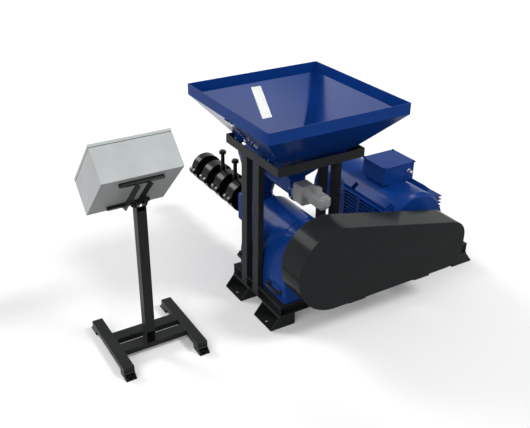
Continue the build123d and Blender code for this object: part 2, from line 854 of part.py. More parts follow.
# Cabinet stand
stand_x = -1134.0
rail_left_x = -1381.0
rail_right_x = -895.0
rail_width = 68.0
rail_height = 38.0
rail_top = 73.0
rail_front = process_y - 340.0
rail_rear = process_y + 210.0
rail_bottom = rail_top - rail_height
stand_post_size = 60.0
stand_post_wall = 4.0
stand_post_front = process_y - 180.0
cross_bar_width = 78.0
front_bar_front = stand_post_front
rear_bar_front = process_y - 50.0
post_top_z = 1060.0
pivot_down = 30.0
pivot_y = stand_post_front + stand_post_size / 2
pivot_z = post_top_z - pivot_down
post_fork = 70.0
pin_radius = 8.0
pin_clearance = 0.05

with BuildPart() as stand_rails:
    with BuildSketch(front_plane(rail_rear)):
        for x in (rail_left_x, rail_right_x):
            with Locations((x + rail_width / 2, rail_bottom + rail_height / 2)):
                Rectangle(rail_width, rail_height)
                Rectangle(rail_width - 2 * stand_post_wall, rail_height - 2 * stand_post_wall,
                          mode=Mode.SUBTRACT)
    extrude(amount=rail_rear - rail_front)

bar_left = rail_left_x + rail_width
bar_span = rail_right_x - bar_left
with BuildPart() as stand_cross_bars:
    with BuildSketch(side_plane(bar_left)):
        for y in (front_bar_front, rear_bar_front):
            with Locations((y + cross_bar_width / 2, rail_bottom + rail_height / 2)):
                Rectangle(cross_bar_width, rail_height)
                Rectangle(cross_bar_width - 2 * stand_post_wall, rail_height - 2 * stand_post_wall,
                          mode=Mode.SUBTRACT)
    extrude(amount=bar_span)

stand_foot_toe = 34.0
stand_foot_under = 61.0
stand_foot_plate = 4.0
stand_bolt_radius = 6.0
stand_bolt_out = 17.0
stand_foot = pressed_foot(
    stand_foot_under, stand_foot_toe, rail_width, rail_bottom, stand_foot_plate, stand_bolt_radius,
    stand_bolt_out
)
with BuildPart() as stand_feet:
    for x in (rail_left_x, rail_right_x):
        with Locations((x + rail_width / 2, rail_front, 0)):
            add(stand_foot, rotation=(0, 0, 90))
        with Locations((x + rail_width / 2, rail_rear, 0)):
            add(stand_foot, rotation=(0, 0, -90))

with BuildPart() as stand_post:
    with BuildSketch(Plane.XY.offset(rail_top)):
        with Locations((stand_x, stand_post_front + stand_post_size / 2)):
            Rectangle(stand_post_size, stand_post_size)
            hollow = stand_post_size - 2 * stand_post_wall
            Rectangle(hollow, hollow, mode=Mode.SUBTRACT)
    extrude(amount=post_top_z - rail_top)
    with Locations((stand_x, pivot_y, post_top_z - post_fork / 2)):
        Box(hollow, stand_post_size, post_fork, mode=Mode.SUBTRACT)
    with BuildSketch(side_plane(stand_x - stand_post_size / 2)):
        with Locations((pivot_y, pivot_z)):
            Circle(pin_radius + pin_clearance)
    extrude(amount=stand_post_size, mode=Mode.SUBTRACT)

# Tilting control cabinet
cabinet_tilt = 44.5
cabinet_width = 485.0
cabinet_height = 475.0
cabinet_depth = 237.0
cabinet_edge_y = process_y - 256.0
cabinet_edge_z = 1247.0
cabinet_sheet = 3.0
door_thickness = 22.0
door_gap = 5.0
bracket_plate = 5.0
bracket_gap = 5.0

down = (0, sin(radians(cabinet_tilt)), -cos(radians(cabinet_tilt)))
out = (0, cos(radians(cabinet_tilt)), sin(radians(cabinet_tilt)))
back_centre = (
    stand_x,
    cabinet_edge_y + down[1] * cabinet_height / 2,
    cabinet_edge_z + down[2] * cabinet_height / 2,
)
back_plane = Plane(origin=back_centre, x_dir=(1, 0, 0), z_dir=out)
body_depth = cabinet_depth - door_thickness

with BuildPart() as cabinet_body:
    with BuildSketch(back_plane):
        Rectangle(cabinet_width, cabinet_height)
    extrude(amount=body_depth)
    with BuildSketch(back_plane.offset(cabinet_sheet)):
        Rectangle(cabinet_width - 2 * cabinet_sheet, cabinet_height - 2 * cabinet_sheet)
    extrude(amount=body_depth, mode=Mode.SUBTRACT)

with BuildPart() as door_panel:
    with BuildSketch(back_plane.offset(body_depth + door_gap)):
        Rectangle(cabinet_width, cabinet_height)
    extrude(amount=door_thickness - door_gap)
    with BuildSketch(back_plane.offset(body_depth)):
        Rectangle(cabinet_width - 2 * cabinet_sheet, cabinet_height - 2 * cabinet_sheet)
    extrude(amount=door_thickness - cabinet_sheet, mode=Mode.SUBTRACT)

# Door hinges on the cabinet's right-hand side, the pins fixed in the cabinet's lower knuckles
hinge_out = 8.0
hinge_radius = 6.0
hinge_pin_radius = 3.0
knuckle_length = 26.0
knuckle_gap = 1.0
hinge_leaf = 3.0
hinge_leaf_depth = 34.0
hinge_spacing = 320.0
hinge_axis_x = cabinet_width / 2 + hinge_out
hinge_depth = body_depth + door_gap / 2
hinge_starts = [middle - knuckle_length for middle in (-hinge_spacing / 2, hinge_spacing / 2)]


def panel_across(along):
    """Plane across the cabinet at a place up its back: sketch y is the depth, extrude goes up."""
    start = Vector(*back_centre) - Vector(*down) * along
    return Plane(origin=start, x_dir=(1, 0, 0), z_dir=(0, -down[1], -down[2]))


def hinge_side(along, leaf_far, leaf_near):
    """Leaf with its knuckle; the leaf lies on the cabinet's side between two depths."""
    knuckle_edge = hinge_depth + (hinge_radius if leaf_far > hinge_depth else -hinge_radius)
    with BuildPart() as side:
        with BuildSketch(panel_across(along)):
            with Locations((hinge_axis_x, hinge_depth)):
                Circle(hinge_radius)
            with Locations((cabinet_width / 2 + hinge_leaf / 2, (leaf_far + leaf_near) / 2)):
                Rectangle(hinge_leaf, abs(leaf_far - leaf_near))
            with Locations((cabinet_width / 2 + hinge_out / 2, (leaf_near + knuckle_edge) / 2)):
                Rectangle(hinge_out, abs(leaf_near - knuckle_edge))
        extrude(amount=knuckle_length)
    return side.part


with BuildPart() as cabinet_hinges:
    for along in hinge_starts:
        add(hinge_side(along, body_depth - hinge_leaf_depth, body_depth))
        with BuildSketch(panel_across(along)):
            with Locations((hinge_axis_x, hinge_depth)):
                Circle(hinge_pin_radius)
        extrude(amount=2 * knuckle_length + knuckle_gap)

with BuildPart() as cabinet_door:
    add(door_panel.part)
    for along in hinge_starts:
        add(hinge_side(
            along + knuckle_length + knuckle_gap, body_depth + door_thickness, body_depth + door_gap
        ))
        with BuildSketch(panel_across(along)):
            with Locations((hinge_axis_x, hinge_depth)):
                Circle(hinge_pin_radius + pin_clearance)
        extrude(amount=2 * knuckle_length + 2 * knuckle_gap, mode=Mode.SUBTRACT)

mount_rail_length = 270.0
mount_rail_width = 28.0
mount_rail_height = 20.0
mount_rail_spacing = 350.0
with BuildPart() as cabinet_rails:
    with BuildSketch(back_plane):
        with Locations((0, mount_rail_spacing / 2), (0, -mount_rail_spacing / 2)):
            SlotOverall(mount_rail_length, mount_rail_width)
    extrude(amount=-mount_rail_height)


def on_panel(along, off):
    """Point in the stand's YZ plane from a place along the back panel and a distance off it."""
    return (
        back_centre[1] - down[1] * along - out[1] * off,
        back_centre[2] - down[2] * along - out[2] * off,
    )


# Bracket plates: a strip along both rails with slanted ends and an ear round the tilt pin
strip_off = 56.0
strip_reach = (mount_rail_spacing + mount_rail_width) / 2
strip_slant = 38.0
ear_half = 52.0
pivot_ear_radius = 24.0
pivot_along = (back_centre[1] - pivot_y) * down[1] + (back_centre[2] - pivot_z) * down[2]

with BuildPart() as cabinet_brackets:
    for side in (-1, 1):
        inner = stand_x + side * (stand_post_size / 2 + bracket_gap)
        plate_x = inner if side > 0 else inner - bracket_plate
        with BuildSketch(side_plane(plate_x)):
            with BuildLine():
                Polyline(
                    on_panel(strip_reach, mount_rail_height),
                    on_panel(strip_reach + strip_slant, strip_off),
                    on_panel(pivot_along + ear_half, strip_off),
                    (pivot_y - out[1] * pivot_ear_radius, pivot_z - out[2] * pivot_ear_radius),
                    on_panel(pivot_along - ear_half, strip_off),
                    on_panel(-strip_reach + strip_slant, strip_off),
                    on_panel(-strip_reach, mount_rail_height),
                    close=True,
                )
            make_face()
            with Locations((pivot_y, pivot_z)):
                Circle(pivot_ear_radius)
                Circle(pin_radius + pin_clearance, mode=Mode.SUBTRACT)
        extrude(amount=bracket_plate)

# Tilt pin: washers between the plates and the post, heads outside the plates
washer_radius = 20.0
washer_clearance = 0.1
pin_head_radius = 13.0
pin_head = 9.9
pin_reach = stand_post_size / 2 + bracket_gap + bracket_plate + washer_clearance + pin_head
with BuildPart() as tilt_pin:
    with BuildSketch(side_plane(stand_x - pin_reach)):
        with Locations((pivot_y, pivot_z)):
            Circle(pin_radius)
    extrude(amount=2 * pin_reach)
    for start in (-stand_post_size / 2, stand_post_size / 2 + bracket_gap - washer_clearance):
        with BuildSketch(side_plane(stand_x + start)):
            with Locations((pivot_y, pivot_z)):
                Circle(washer_radius)
        extrude(amount=-(bracket_gap - washer_clearance))
    for side in (-1, 1):
        face = stand_x + side * (pin_reach - pin_head)
        with BuildSketch(side_plane(face)):
            with Locations((pivot_y, pivot_z)):
                RegularPolygon(pin_head_radius, 6)
        extrude(amount=side * pin_head)

nodes = {
    "base_front_channel": base_front_channel,
    "base_rear_channel": base_rear_channel,
    "base_end_channels": base_end_channels,
    "base_cross_channels": base_cross_channels,
    "base_feet": base_feet,
    "support_posts": support_posts,
    "ring_front_rear": ring_front_rear,
    "ring_sides": ring_sides,
    "hopper_front": hopper_front,
    "hopper_rear": hopper_rear,
    "hopper_left": hopper_left,
    "hopper_right": hopper_right,
    "hopper_lugs": hopper_lugs,
    "hopper_outlet": hopper_outlet,
    "sight_windows": sight_windows,
    "feeder_tube": feeder_tube,
    "feeder_gearbox": feeder_gearbox,
    "feeder_motor": feeder_motor,
    "feed_funnel": feed_funnel,
    "feed_throat": feed_throat,
    "gearbox_housing": gearbox_housing,
    "gearbox_handles": gearbox_handles,
    "barrel_tube": barrel_tube,
    "heater_bands": heater_bands,
    "barrel_end_flange": barrel_end_flange,
    "sensor_knobs": sensor_knobs,
    "belt_guard": belt_guard,
    "guard_back_plate": guard_back_plate,
    "guard_standoffs": guard_standoffs,
    "motor_base_plate": motor_base_plate,
    "motor_frame": motor_frame,
    "motor_drive_shield": motor_drive_shield,
    "motor_fan_cowl": motor_fan_cowl,
    "terminal_box": terminal_box,
    "terminal_box_lid": terminal_box_lid,
    "stand_rails": stand_rails,
    "stand_cross_bars": stand_cross_bars,
    "stand_feet": stand_feet,
    "stand_post": stand_post,
    "cabinet_body": cabinet_body,
    "cabinet_hinges": cabinet_hinges,
    "cabinet_door": cabinet_door,
    "cabinet_rails": cabinet_rails,
    "cabinet_brackets": cabinet_brackets,
    "tilt_pin": tilt_pin,
}
for label, node in nodes.items():
    node.part.label = label
    export_step(node.part, f"parts/{label}.step")
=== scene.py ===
"""Looks of the plastic extruder: paint, screws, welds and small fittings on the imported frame.

Lengths are in metres, angles in degrees.
"""
import json
from math import cos, pi, radians, sin

import bmesh
import bpy
from mathutils import Euler, Matrix, Vector


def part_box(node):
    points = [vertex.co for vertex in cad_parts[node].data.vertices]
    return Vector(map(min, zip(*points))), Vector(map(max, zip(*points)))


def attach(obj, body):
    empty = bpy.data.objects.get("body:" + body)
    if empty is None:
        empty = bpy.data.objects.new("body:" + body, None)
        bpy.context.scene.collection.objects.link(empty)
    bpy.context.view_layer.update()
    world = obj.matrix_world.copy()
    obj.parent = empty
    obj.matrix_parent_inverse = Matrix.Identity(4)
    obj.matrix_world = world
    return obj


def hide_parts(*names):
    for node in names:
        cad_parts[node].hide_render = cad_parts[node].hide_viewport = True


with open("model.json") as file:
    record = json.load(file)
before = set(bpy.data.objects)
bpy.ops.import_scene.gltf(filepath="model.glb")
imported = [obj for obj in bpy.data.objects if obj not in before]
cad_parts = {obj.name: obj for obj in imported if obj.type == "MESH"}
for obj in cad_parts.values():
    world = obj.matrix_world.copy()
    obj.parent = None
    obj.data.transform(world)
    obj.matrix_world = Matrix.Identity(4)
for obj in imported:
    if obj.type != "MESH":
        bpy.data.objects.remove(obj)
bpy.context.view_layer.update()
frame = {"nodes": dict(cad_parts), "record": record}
scene = bpy.context.scene
joints = {joint["name"]: joint for joint in frame["record"]["behaviour"]["joints"]}
mounts = {mount["name"]: mount for mount in frame["record"]["mounts"]}

UP = (0, 0, 1)
DOWN = (0, 0, -1)
FRONT = (0, -1, 0)
REAR = (0, 1, 0)
LEFT = (-1, 0, 0)
RIGHT = (1, 0, 0)
MM_PER_M = 1000

# Camera solved from the straight edges of the photograph
IMAGE_WIDTH = 530
IMAGE_HEIGHT = 428
FOCAL_PX = 739.7155
CENTRE_PX = (246.615, 211.625)
CAMERA_AT = (-2.4527, -3.9913, 2.9392)
CAMERA_PITCH = 27.92
CAMERA_YAW = 29.84
SENSOR_MM = 36.0

camera_data = bpy.data.cameras.new("camera")
camera_data.sensor_width = SENSOR_MM
camera_data.lens = FOCAL_PX * SENSOR_MM / IMAGE_WIDTH
camera_data.shift_x = (IMAGE_WIDTH / 2 - CENTRE_PX[0]) / IMAGE_WIDTH
camera_data.shift_y = (CENTRE_PX[1] - IMAGE_HEIGHT / 2) / IMAGE_WIDTH
camera = bpy.data.objects.new("camera", camera_data)
camera.location = CAMERA_AT
camera.rotation_euler = Euler((radians(90 - CAMERA_PITCH), 0, radians(-CAMERA_YAW)))
scene.collection.objects.link(camera)
scene.camera = camera
scene.view_settings.view_transform = "Standard"

# Materials
NOISE_DETAIL = 3.0
EDGE_ROUND = 0.0016
EDGE_SAMPLES = 4
EDGE_BLEND = (0.97, 0.80)
WEAR_AND_HIGHLIGHT_SCALE = 60.0
MOTTLE_SCALE = 7.0
MOTTLE_SPREAD = 0.06
MOTTLE_STOPS = (0.3, 0.7)
GLOSS_SCALE = 16.0
GLOSS_SPREAD = 0.12
PEEL_STRENGTH = 0.12
PEEL_DETAIL = 2.0
GLASS = (0.74, 0.76, 0.75)
GLASS_IOR = 1.10
SMUDGE_SCALE = 25.0
SMUDGE_STOPS = ((0.4, 0.02), (0.75, 0.07))

# The Mix node has several sockets of one name, so its colour sockets go by number
MIX_FACTOR = 0
MIX_FIRST = 6
MIX_SECOND = 7
MIX_RESULT = 2


def new_material(name):
    """An empty node material and its Principled shader."""
    material = bpy.data.materials.new(name)
    material.use_nodes = True
    return material, material.node_tree, material.node_tree.nodes["Principled BSDF"]


def add_noise(tree, scale, detail=NOISE_DETAIL):
    """Noise over the object's own coordinates."""
    place = tree.nodes.new("ShaderNodeTexCoord")
    noise = tree.nodes.new("ShaderNodeTexNoise")
    noise.inputs["Scale"].default_value = scale
    noise.inputs["Detail"].default_value = detail
    tree.links.new(place.outputs["Object"], noise.inputs["Vector"])
    return noise.outputs["Fac"]


def ramp(tree, source, stops):
    """Colour ramp fed by source; stops are (place, colour)."""
    node = tree.nodes.new("ShaderNodeValToRGB")
    for element, (position, colour) in zip(node.color_ramp.elements, stops):
        element.position = position
        element.color = colour
    tree.links.new(source, node.inputs["Fac"])
    return node.outputs["Color"]


def shade(colour, factor):
    """Colour made lighter or darker, with alpha."""
    return tuple(min(1.0, channel * factor) for channel in colour) + (1.0,)


def grey(value):
    """Neutral colour with alpha."""
    return (value, value, value, 1.0)


def edge_wear_and_highlight(tree, bevel, strength):
    """Mask that is high along outside edges, broken up by noise; it pales the edges, partly as wear
    and partly as a painted highlight.
    """
    geometry = tree.nodes.new("ShaderNodeNewGeometry")
    across = tree.nodes.new("ShaderNodeVectorMath")
    across.operation = "DOT_PRODUCT"
    tree.links.new(bevel.outputs["Normal"], across.inputs[0])
    tree.links.new(geometry.outputs["Normal"], across.inputs[1])
    edge = tree.nodes.new("ShaderNodeMapRange")
    edge.inputs["From Min"].default_value = EDGE_BLEND[0]
    edge.inputs["From Max"].default_value = EDGE_BLEND[1]
    edge.inputs["To Max"].default_value = strength
    tree.links.new(across.outputs["Value"], edge.inputs["Value"])
    broken = tree.nodes.new("ShaderNodeMath")
    broken.operation = "MULTIPLY"
    tree.links.new(edge.outputs["Result"], broken.inputs[0])
    tree.links.new(add_noise(tree, WEAR_AND_HIGHLIGHT_SCALE), broken.inputs[1])
    return broken.outputs["Value"]


def paint(name, colour, roughness, specular=0.2, peel=0.0006, metallic=0.0, grain=900.0, wear_and_highlight=0.5,
          wear_and_highlight_colour=(0.16, 0.17, 0.18)):
    """Sprayed finish: slight mottling, a varying gloss, fine orange peel and paler edges that are
    partly wear and partly a painted highlight.
    """
    material, tree, shader = new_material(name)
    bevel = tree.nodes.new("ShaderNodeBevel")
    bevel.samples = EDGE_SAMPLES
    bevel.inputs["Radius"].default_value = EDGE_ROUND
    tint = ramp(tree, add_noise(tree, MOTTLE_SCALE),
                ((MOTTLE_STOPS[0], shade(colour, 1 - MOTTLE_SPREAD)),
                 (MOTTLE_STOPS[1], shade(colour, 1 + MOTTLE_SPREAD))))
    # Edges pale towards the edge colour: partly wear, partly a painted edge highlight
    worn_and_highlit = tree.nodes.new("ShaderNodeMix")
    worn_and_highlit.data_type = "RGBA"
    worn_and_highlit.inputs[MIX_SECOND].default_value = wear_and_highlight_colour + (1.0,)
    tree.links.new(edge_wear_and_highlight(tree, bevel, wear_and_highlight), worn_and_highlit.inputs[MIX_FACTOR])
    tree.links.new(tint, worn_and_highlit.inputs[MIX_FIRST])
    tree.links.new(worn_and_highlit.outputs[MIX_RESULT], shader.inputs["Base Color"])
    gloss = tree.nodes.new("ShaderNodeMapRange")
    gloss.inputs["To Min"].default_value = roughness * (1 - GLOSS_SPREAD)
    gloss.inputs["To Max"].default_value = roughness * (1 + GLOSS_SPREAD)
    tree.links.new(add_noise(tree, GLOSS_SCALE), gloss.inputs["Value"])
    tree.links.new(gloss.outputs["Result"], shader.inputs["Roughness"])
    bump = tree.nodes.new("ShaderNodeBump")
    bump.inputs["Strength"].default_value = PEEL_STRENGTH
    bump.inputs["Distance"].default_value = peel
    tree.links.new(add_noise(tree, grain, PEEL_DETAIL), bump.inputs["Height"])
    tree.links.new(bevel.outputs["Normal"], bump.inputs["Normal"])
    tree.links.new(bump.outputs["Normal"], shader.inputs["Normal"])
    shader.inputs["Metallic"].default_value = metallic
    shader.inputs["Specular IOR Level"].default_value = specular
    return material


def window_glass(name):
    """Pale sheet that is clear to look through, with faint smudges."""
    material, tree, shader = new_material(name)
    shader.inputs["Base Color"].default_value = GLASS + (1.0,)
    shader.inputs["Transmission Weight"].default_value = 1.0
    shader.inputs["IOR"].default_value = GLASS_IOR
    smudge = ramp(tree, add_noise(tree, SMUDGE_SCALE),
                  [(place, grey(roughness)) for place, roughness in SMUDGE_STOPS])
    tree.links.new(smudge, shader.inputs["Roughness"])
    return material


# The paler edge colours below are partly wear and partly a painted edge highlight
BLUE = (0.0045, 0.038, 0.205)
BLUE_WEAR_AND_HIGHLIGHT = (0.030, 0.075, 0.260)
BLACK_GREY = (0.0135, 0.0150, 0.0158)
GUARD_GREY = (0.0180, 0.0205, 0.0212)
BARREL = (0.0022, 0.0025, 0.0028)
BARREL_WEAR_AND_HIGHLIGHT = (0.06, 0.06, 0.065)
GEARMOTOR = (0.255, 0.262, 0.262)
GEARMOTOR_WEAR_AND_HIGHLIGHT = (0.33, 0.34, 0.34)
LIGHT_GREY = (0.455, 0.480, 0.480)
LIGHT_GREY_WEAR_AND_HIGHLIGHT = (0.62, 0.64, 0.64)
PLATED = (0.560, 0.560, 0.600)
PLATED_WEAR_AND_HIGHLIGHT = (0.75, 0.75, 0.78)
SEAL_GREY = (0.170, 0.178, 0.178)
RUBBER_AND_SHADE_BLACK = (0.0012, 0.0013, 0.0014)

blue_paint = paint("machine_blue", BLUE, 0.17, specular=0.05, peel=0.0002, wear_and_highlight_colour=BLUE_WEAR_AND_HIGHLIGHT)
motor_paint = paint("motor_blue", BLUE, 0.22, specular=0.055, peel=0.0003, grain=500.0,
                    wear_and_highlight_colour=BLUE_WEAR_AND_HIGHLIGHT)
frame_paint = paint("frame_grey", BLACK_GREY, 0.34, specular=0.08)
guard_paint = paint("guard_grey", GUARD_GREY, 0.17, specular=0.035, peel=0.0002)
barrel_metal = paint("barrel_black", BARREL, 0.22, specular=0.12, peel=0.0002,
                     wear_and_highlight_colour=BARREL_WEAR_AND_HIGHLIGHT)
gearmotor_paint = paint("gearmotor_grey", GEARMOTOR, 0.45, grain=450.0, wear_and_highlight_colour=GEARMOTOR_WEAR_AND_HIGHLIGHT)
cabinet_paint = paint("cabinet_grey", LIGHT_GREY, 0.50, grain=1600.0, wear_and_highlight=0.3,
                      wear_and_highlight_colour=LIGHT_GREY_WEAR_AND_HIGHLIGHT)
plated = paint("plated_steel", PLATED, 0.30, metallic=1.0, wear_and_highlight_colour=PLATED_WEAR_AND_HIGHLIGHT)
seal_rubber = paint("seal_rubber", SEAL_GREY, 0.70, wear_and_highlight=0.1)
# Black rubber for the plugs, also used for the sheet of painted shade at the post's foot
black_rubber_and_shade = paint("black_rubber_and_shade", RUBBER_AND_SHADE_BLACK, 0.60, specular=0.02, wear_and_highlight=0.05)

slot_material = {
    "machine_blue": blue_paint,
    "frame_grey": frame_paint,
    "barrel_black": barrel_metal,
    "gearmotor_grey": gearmotor_paint,
    "cabinet_grey": cabinet_paint,
    "sight_glass": window_glass("sight_glass"),
    "plated_steel": plated,
}
node_material = {
    "belt_guard": guard_paint,
    "guard_back_plate": guard_paint,
    "motor_frame": motor_paint,
    "motor_drive_shield": motor_paint,
    "motor_fan_cowl": motor_paint,
    "terminal_box": motor_paint,
    "terminal_box_lid": motor_paint,
    "tilt_pin": barrel_metal,
}

for part in frame["record"]["subparts"]:
    material = node_material.get(part["node"], slot_material[part["material_slot"]])
    node = frame["nodes"][part["node"]]
    node.data.materials.clear()
    node.data.materials.append(material)

# Mesh helpers
SHARP_ANGLE = 38.0
THREAD_PITCH = 0.0018

# Radius and height at which the edge of a washer or head breaks, as shares of its own
WASHER_EDGE = (0.94, 0.7)
HEAD_EDGE = (0.86, 0.78)

# Thread's radius as a share of the width across flats, its root and tip as shares of that radius
THREAD_RADIUS = 0.30
THREAD_ROOT = 0.9
THREAD_TIP = 0.75

# Dips and ends of a weld bead as shares of its radius, a plate's broken edge of its thickness
WELD_DIP = 0.84
WELD_END = 0.4
PLATE_EDGE = 0.4


def skin(bm, rings):
    """Closed skin over rings of equally many vertices."""
    for lower, upper in zip(rings, rings[1:]):
        for step in range(len(lower)):
            after = (step + 1) % len(lower)
            bm.faces.new((lower[step], lower[after], upper[after], upper[step]))
    bm.faces.new(rings[0][::-1])
    bm.faces.new(rings[-1])


def lathe(bm, profile, at, axis, segments=24, turn=0.0):
    """Turned form: (radius, height) from the seat outwards, closed at both ends."""
    upright = Vector(axis).to_track_quat("Z", "Y").to_matrix().to_4x4()
    place = Matrix.Translation(at) @ upright
    rings = []
    for radius, height in profile:
        ring = []
        for step in range(segments):
            angle = turn + 2 * pi * step / segments
            point = Vector((radius * cos(angle), radius * sin(angle), height))
            ring.append(bm.verts.new(place @ point))
        rings.append(ring)
    skin(bm, rings)


def round_bar(bm, path, radius, segments=16):
    """Round bar along points that lie at one height."""
    up = Vector(UP)
    rings = []
    for index, point in enumerate(path):
        along = path[min(index + 1, len(path) - 1)] - path[max(index - 1, 0)]
        side = along.normalized().cross(up)
        ring = []
        for step in range(segments):
            angle = 2 * pi * step / segments
            ring.append(bm.verts.new(point + radius * (cos(angle) * side + sin(angle) * up)))
        rings.append(ring)
    skin(bm, rings)


def plate(bm, at, across, up, width, height, thickness, corner=0.001):
    """Plate with cut corners and a broken front edge; at is the middle of its back."""
    across = Vector(across).normalized()
    up = Vector(up).normalized()
    out = across.cross(up)
    edge = PLATE_EDGE * thickness
    rings = []
    for level, inset in ((0.0, 0.0), (thickness - edge, 0.0), (thickness, edge)):
        x = width / 2 - inset
        y = height / 2 - inset
        outline = ((-x + corner, -y), (x - corner, -y), (x, -y + corner), (x, y - corner),
                   (x - corner, y), (-x + corner, y), (-x, y - corner), (-x, -y + corner))
        back = Vector(at) + level * out
        rings.append([bm.verts.new(back + a * across + b * up) for a, b in outline])
    skin(bm, rings)


def bolt(bm, at, axis, across, head, washer=0.0, washer_radius=0.0, thread=0.0, turn=0.0):
    """Hexagon head or nut on a washer, with the thread's end past a nut."""
    along = Vector(axis).normalized()
    seat = Vector(at)
    if washer:
        lathe(bm, [(washer_radius, 0), (washer_radius, WASHER_EDGE[1] * washer),
                   (WASHER_EDGE[0] * washer_radius, washer)], seat, along)
        seat = seat + along * washer
    corner = across / 3**0.5
    lathe(bm, [(corner, 0), (corner, HEAD_EDGE[1] * head), (HEAD_EDGE[0] * corner, head)],
          seat, along, segments=6, turn=turn)
    if thread:
        radius = THREAD_RADIUS * across
        ridges = []
        for step in range(2 * int(thread / THREAD_PITCH)):
            ridge = radius if step % 2 else THREAD_ROOT * radius
            ridges.append((ridge, head + step * THREAD_PITCH / 2))
        lathe(bm, ridges + [(THREAD_TIP * radius, head + thread)], seat, along, segments=16)


def weld(bm, start, end, radius=0.0035, pitch=0.005):
    """Rippled bead along a straight joint."""
    start = Vector(start)
    along = Vector(end) - start
    steps = max(4, int(along.length / pitch) * 2)
    bead = [(WELD_END * radius, 0)]
    for step in range(1, steps):
        ripple = radius if step % 2 else WELD_DIP * radius
        bead.append((ripple, along.length * step / steps))
    bead.append((WELD_END * radius, along.length))
    lathe(bm, bead, start, along, segments=8)


def ring_frame(bm, place, outer, inner, height):
    """Rectangular ring: outer and inner are (width, height) of its outlines on place's XY."""
    loops = []
    for level in (0.0, height):
        for size in (outer, inner):
            loops.append([
                bm.verts.new(place @ Vector((sx * size[0] / 2, sy * size[1] / 2, level)))
                for sx, sy in ((-1, -1), (1, -1), (1, 1), (-1, 1))
            ])
    for first, second in ((0, 2), (3, 1), (1, 0), (2, 3)):
        for step in range(4):
            after = (step + 1) % 4
            bm.faces.new((loops[first][step], loops[first][after],
                          loops[second][after], loops[second][step]))


def make_piece(name, bm, material, body="machine"):
    """Piece from a bmesh, smooth except at its sharp edges, riding on a body."""
    bmesh.ops.recalc_face_normals(bm, faces=bm.faces)
    mesh = bpy.data.meshes.new(name)
    bm.to_mesh(mesh)
    bm.free()
    mesh.shade_smooth()
    mesh.set_sharp_from_angle(angle=radians(SHARP_ANGLE))
    mesh.materials.append(material)
    piece = bpy.data.objects.new(name, mesh)
    scene.collection.objects.link(piece)
    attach(piece, body)
    return piece


# Clamp screws through the ears of the barrel's bands and end flange
EAR_OUT = 0.022
EAR_HEIGHT = 0.034
EAR_SCREW_INSET = 0.014
BAND_LENGTH = 0.090
BAND_COUNT = 3
CLAMP_SCREW = {"across": 0.013, "head": 0.009, "washer": 0.002, "washer_radius": 0.0105}
CLAMP_THREAD = 0.006

bands_low, bands_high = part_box("heater_bands")
flange_low, flange_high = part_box("barrel_end_flange")
barrel_z = (bands_low[2] + bands_high[2]) / 2
ear_x = bands_low[0] + EAR_OUT / 2
band_pitch = (bands_high[1] - bands_low[1] - BAND_LENGTH) / (BAND_COUNT - 1)
clamps = []
for index in range(BAND_COUNT):
    start = bands_low[1] + index * band_pitch
    clamps.append((start, start + BAND_LENGTH))
clamps.append((flange_low[1], flange_high[1]))
bm = bmesh.new()
for start, end in clamps:
    for y in (start + EAR_SCREW_INSET, end - EAR_SCREW_INSET):
        bolt(bm, (ear_x, y, barrel_z + EAR_HEIGHT / 2), UP, **CLAMP_SCREW)
        bolt(bm, (ear_x, y, barrel_z - EAR_HEIGHT / 2), DOWN, thread=CLAMP_THREAD, **CLAMP_SCREW)
make_piece("band_clamp_screws", bm, plated)

# Hopper lugs with their feet turned outwards, and the studs that hold them down on the ring
PROCESS_Y = -0.325
HOPPER_RIM = 0.073
HOPPER_SHEET = 0.004
OUTLET_HALF = 0.060
OUTLET_TOP = 0.882
LUG_FOOT = 0.034
LUG_PLATE = 0.006
LUG_SPANS = ((-0.197, -0.126), (0.198, 0.291))
LUG_STUD = {"across": 0.016, "head": 0.012, "washer": 0.002, "washer_radius": 0.0125,
            "thread": 0.026}

lugs_low, lugs_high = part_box("hopper_lugs")
hopper_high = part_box("hopper_front")[1]
hopper_half = hopper_high[0]
rim_bottom = hopper_high[2] - HOPPER_RIM
wall_slope = (rim_bottom - OUTLET_TOP) / (hopper_half - OUTLET_HALF)


def hopper_z_at(half):
    """Height at which the hopper's sloping outer face is this far from its middle."""
    return OUTLET_TOP + (half - OUTLET_HALF) * wall_slope


lug_top = lugs_low[2] + LUG_PLATE
lug_outer = lugs_high[0]
lug_inner = lug_outer - LUG_FOOT
lug_face = lug_inner + LUG_PLATE
lug_outline = [
    (lug_outer, lugs_low[2]),
    (lug_outer, lug_top),
    (lug_face, lug_top),
    (lug_face, hopper_z_at(lug_face)),
    (lug_inner, hopper_z_at(lug_inner)),
    (lug_inner, lugs_low[2]),
]
bm = bmesh.new()
for side in (-1, 1):
    for span in LUG_SPANS:
        rings = []
        for offset in span:
            y = PROCESS_Y + offset
            rings.append([bm.verts.new((side * x, y, z)) for x, z in lug_outline])
            weld(bm, (side * lug_face, y, hopper_z_at(lug_face)),
                 (side * lug_inner, y, hopper_z_at(lug_inner)))
        skin(bm, rings)
lugs = make_piece("hopper_lugs_turned", bm, blue_paint)
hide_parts("hopper_lugs")

bm = bmesh.new()
for side in (-1, 1):
    for span in LUG_SPANS:
        stud_x = side * (lug_outer - (LUG_FOOT - LUG_PLATE) / 2)
        bolt(bm, (stud_x, PROCESS_Y + sum(span) / 2, lug_top), UP, **LUG_STUD)
make_piece("lug_studs", bm, plated)

